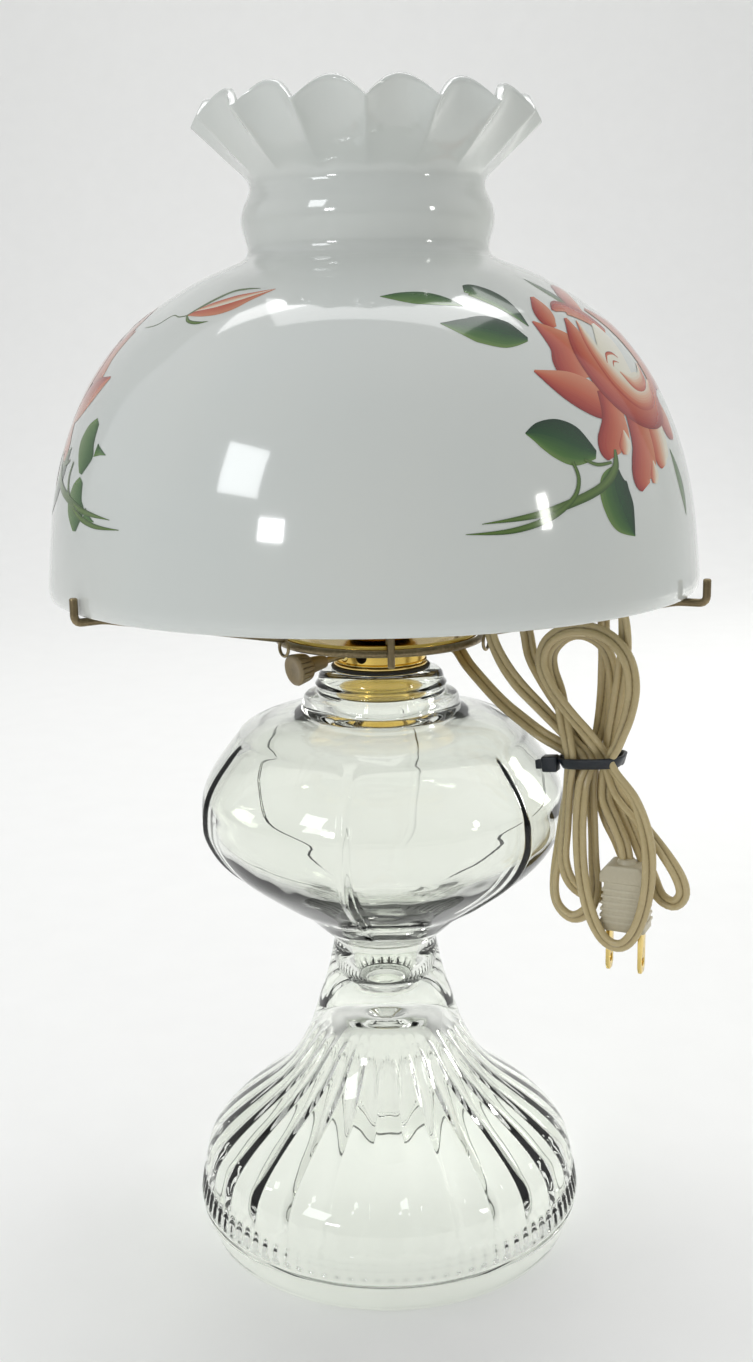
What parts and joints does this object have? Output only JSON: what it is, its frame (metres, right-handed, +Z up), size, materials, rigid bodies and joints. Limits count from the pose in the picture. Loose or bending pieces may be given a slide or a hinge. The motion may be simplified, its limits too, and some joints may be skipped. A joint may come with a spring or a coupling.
{
  "type": "oil lamp",
  "caption": "Electrified table oil lamp: pressed clear glass foot and font, brass burner with switch knob, wire tripod, crimped opal shade painted with roses, tied flat cord.",
  "frame": {"origin": "middle of the foot's underside, on the surface the lamp stands on", "axes": "+Z up the lamp's axis, -Y towards the front, +X to the right with the cord side"},
  "size_m": [0.2546, 0.2594, 0.4555],
  "materials": {
    "clear_glass": "pressed clear glass with a faint grey-green tint, fire polished",
    "opal_glass": "glossy opal glass with hand-painted roses",
    "bulb_glass": "frosted bulb glass",
    "bright_brass": "polished, lacquered",
    "blade_brass": "plain, unlacquered",
    "antique_brass": "dark antique plating on wire",
    "plated_steel": "nickel plated",
    "black_rubber": "matt black",
    "black_nylon": "satin black nylon",
    "phenolic": "dark moulded phenolic",
    "fibre": "vulcanised fibre",
    "khaki_plastic": "moulded khaki brown plastic",
    "cord_vinyl": "satin tan vinyl, centre groove",
    "plug_vinyl": "moulded ivory vinyl"
  },
  "bodies": {
    "root": {"glass_foot": "clear_glass", "glass_font": "clear_glass", "neck_gasket": "black_rubber", "burner_collar": "bright_brass", "burner_body": "bright_brass", "gallery_dish": "bright_brass", "switch_housing": "phenolic", "shaft_bushing": "bright_brass", "cord_bushing": "phenolic", "socket_shell": "bright_brass", "socket_liner": "fibre", "socket_base": "phenolic", "socket_screw_shell": "plated_steel", "centre_contact": "bright_brass", "threaded_nipple": "plated_steel", "nipple_locknut": "plated_steel", "tripod_ring": "antique_brass", "tripod_arm_1": "antique_brass", "tripod_arm_2": "antique_brass", "tripod_arm_3": "antique_brass", "tripod_clip_1": "antique_brass", "tripod_clip_2": "antique_brass", "tripod_clip_3": "antique_brass", "cord_lead": "cord_vinyl", "cord_hank": "cord_vinyl", "cord_tail": "cord_vinyl", "cord_tie": "black_nylon", "plug_body": "plug_vinyl", "plug_blade_wide": "blade_brass", "plug_blade_narrow": "blade_brass"},
    "knob": {"switch_knob": "khaki_plastic", "knob_shaft": "antique_brass"},
    "shade": {"shade": "opal_glass"},
    "bulb": {"bulb_glass": "bulb_glass", "bulb_cap": "plated_steel", "bulb_contact": "plated_steel"}
  },
  "joints": [
    {"name": "knob_turn", "type": "hinge", "parent": "root", "child": "knob", "pos_m": [0, 0, 0.25025], "axis": [-0.7927, -0.5973, -0.1219], "continuous": true},
    {"name": "shade_lift", "type": "slide", "parent": "root", "child": "shade", "axis": [0, 0, 1], "range_m": [0, 0.1]},
    {"name": "bulb_turn", "type": "hinge", "parent": "root", "child": "bulb", "pos_m": [0, 0, 0.27], "axis": [0, 0, 1], "continuous": true}
  ]
}
